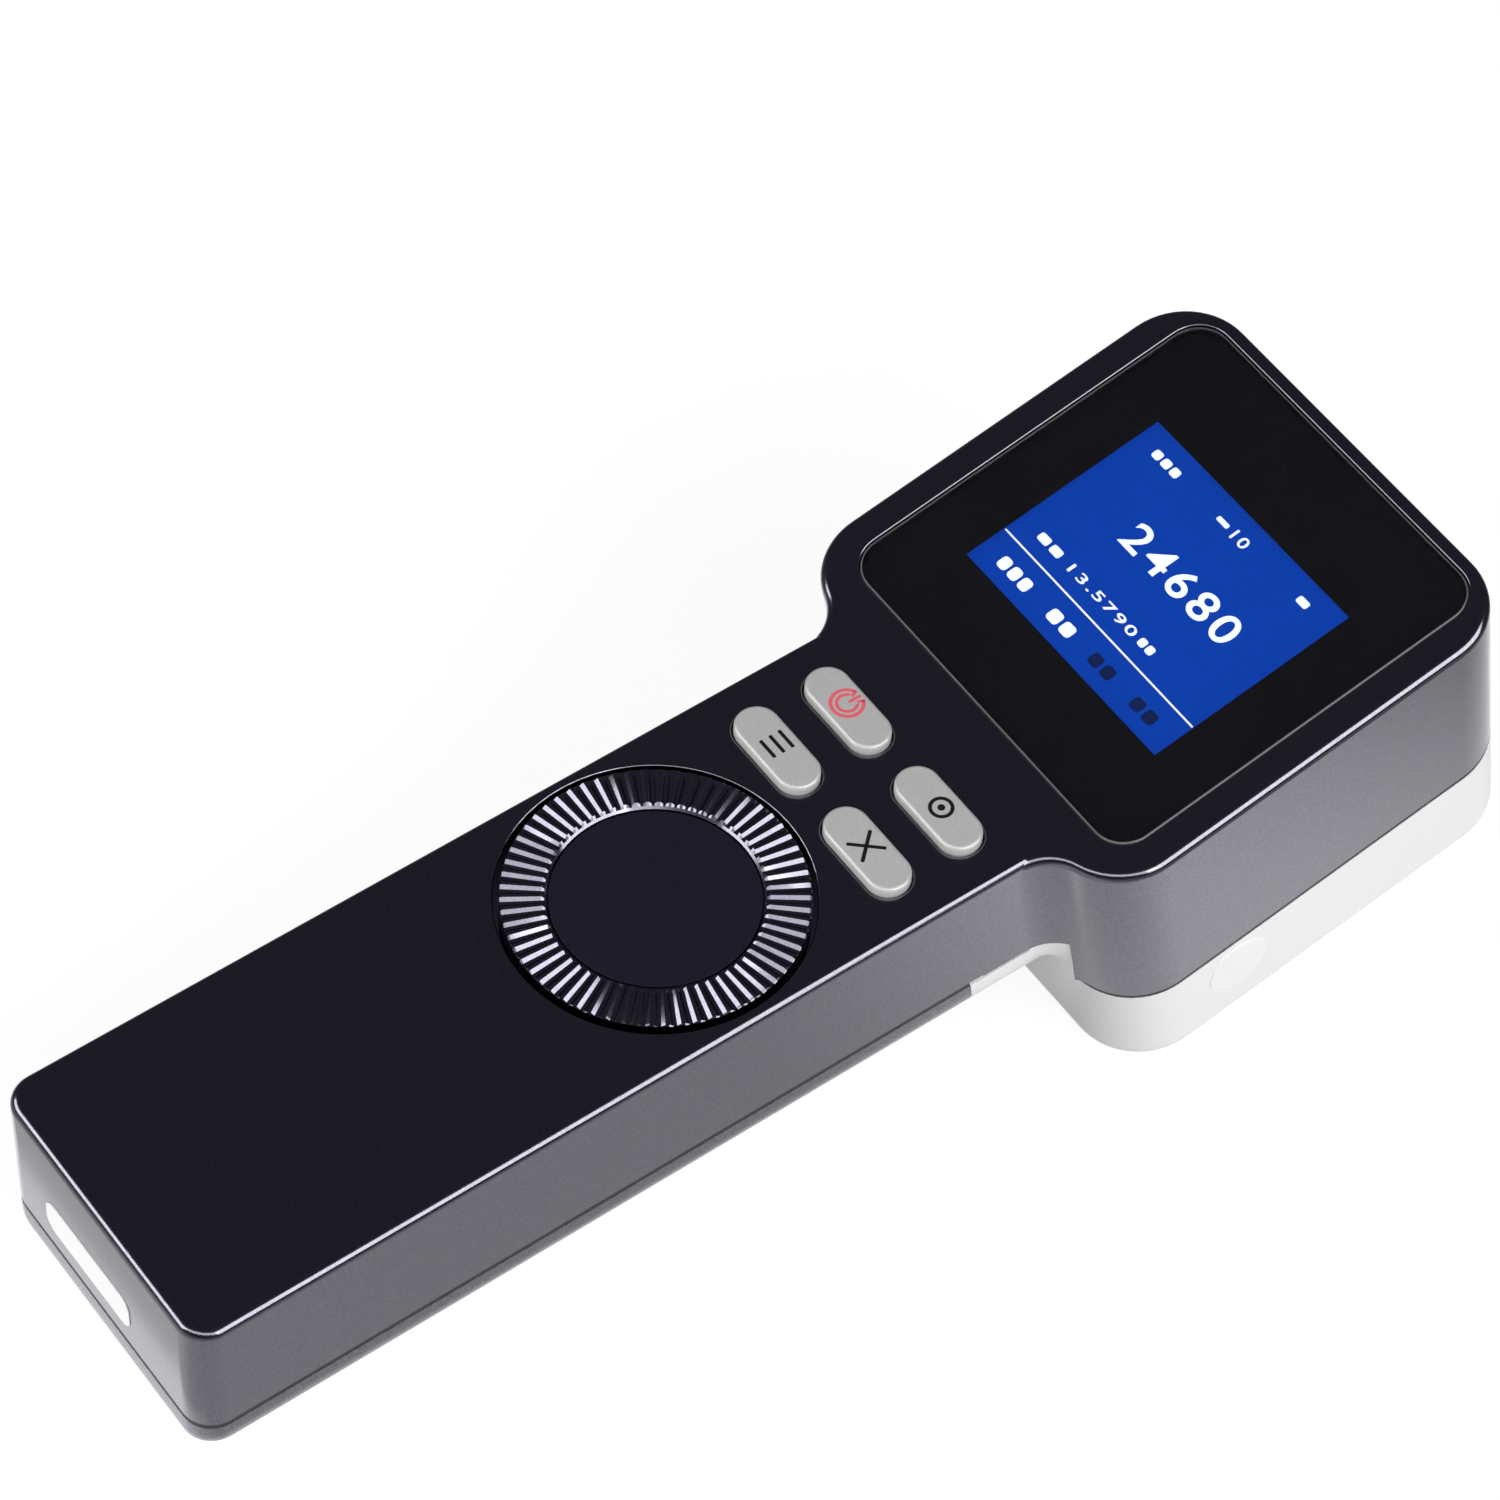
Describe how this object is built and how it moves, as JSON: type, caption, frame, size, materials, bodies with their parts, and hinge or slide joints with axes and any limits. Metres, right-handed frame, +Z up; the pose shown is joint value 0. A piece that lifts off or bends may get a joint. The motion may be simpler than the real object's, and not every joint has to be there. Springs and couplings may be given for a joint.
{
  "type": "handheld led stroboscope",
  "caption": "Handheld LED stroboscope with a display, turning dial, press keys and a square multi-lens lamp.",
  "frame": {"origin": "middle of the footprint, at the bench that the instrument lies on", "axes": "+Y from the handle's end to the head, +Z up out of the bench, +X to the right seen from the front"},
  "size_m": [0.0834, 0.2546, 0.0823],
  "materials": {
    "shell_dark": "dark blue-black metallic paint, semi-gloss",
    "cover_dark": "dark fine-speckled moulding",
    "housing_white": "pearl white moulding, semi-gloss",
    "plate_aluminium": "brushed",
    "lens_clear": "clear moulded acrylic",
    "led_phosphor": "yellow phosphor under a clear dome",
    "board_green": "green solder mask",
    "sink_aluminium": "extruded, clear anodised",
    "screw_steel": "nickel plated",
    "wire_red": "insulated wire",
    "window_black": "black-backed gloss sheet",
    "screen_blue": "lit blue display",
    "ribbon_amber": "flexible printed film",
    "key_silver": "satin silver coat",
    "mat_rubber": "silicone rubber",
    "switch_black": "moulded",
    "dial_black": "satin black",
    "cell_sleeve": "shrink sleeve over a cell can",
    "tray_ivory": "moulded",
    "socket_steel": "formed steel shell",
    "label_white": "blank paper-white film"
  },
  "bodies": {
    "case": {"front_shell": "shell_dark", "rear_cover": "cover_dark", "cover_screws": "screw_steel", "lamp_housing": "housing_white", "lamp_bezel": "housing_white", "lamp_plate": "plate_aluminium", "lens_1": "lens_clear", "lens_2": "lens_clear", "lens_3": "lens_clear", "lens_4": "lens_clear", "lens_5": "lens_clear", "lens_6": "lens_clear", "lens_7": "lens_clear", "lens_8": "lens_clear", "lens_9": "lens_clear", "led_1": "led_phosphor", "led_2": "led_phosphor", "led_3": "led_phosphor", "led_4": "led_phosphor", "led_5": "led_phosphor", "led_6": "led_phosphor", "led_7": "led_phosphor", "led_8": "led_phosphor", "led_9": "led_phosphor", "led_board": "board_green", "heat_sink": "sink_aluminium", "heat_sink_screws": "screw_steel", "lamp_leads": "wire_red", "display_window": "window_black", "lcd_module": "screen_blue", "display_ribbon": "ribbon_amber", "key_mat": "mat_rubber", "key_switches": "switch_black", "encoder_body": "switch_black", "main_board": "board_green", "board_screws": "screw_steel", "battery_cell_1": "cell_sleeve", "battery_cell_2": "cell_sleeve", "battery_tray": "tray_ivory", "battery_leads": "wire_red", "charge_socket": "socket_steel", "trigger_in_socket": "socket_steel", "trigger_out_socket": "socket_steel", "port_board": "board_green", "head_label": "label_white", "end_label": "label_white"},
    "power_key": {"power_key": "key_silver"},
    "set_key": {"set_key": "key_silver"},
    "mode_key": {"mode_key": "key_silver"},
    "cancel_key": {"cancel_key": "key_silver"},
    "dial": {"dial_ring": "dial_black", "dial_cap": "dial_black", "encoder_shaft": "screw_steel"}
  },
  "joints": [
    {"name": "dial_turn", "type": "hinge", "parent": "case", "child": "dial", "pos_m": [0, -0.02618, 0.04881], "axis": [0, -0.1287, 0.9917], "continuous": true},
    {"name": "power_press", "type": "slide", "parent": "case", "child": "power_key", "axis": [0, 0.1287, -0.9917], "range_m": [0, 0.0008], "stiffness_N_per_m": 600, "springref_m": -0.0004},
    {"name": "set_press", "type": "slide", "parent": "case", "child": "set_key", "axis": [0, 0.1287, -0.9917], "range_m": [0, 0.0008], "stiffness_N_per_m": 600, "springref_m": -0.0004},
    {"name": "mode_press", "type": "slide", "parent": "case", "child": "mode_key", "axis": [0, 0.1287, -0.9917], "range_m": [0, 0.0008], "stiffness_N_per_m": 600, "springref_m": -0.0004},
    {"name": "cancel_press", "type": "slide", "parent": "case", "child": "cancel_key", "axis": [0, 0.1287, -0.9917], "range_m": [0, 0.0008], "stiffness_N_per_m": 600, "springref_m": -0.0004}
  ]
}
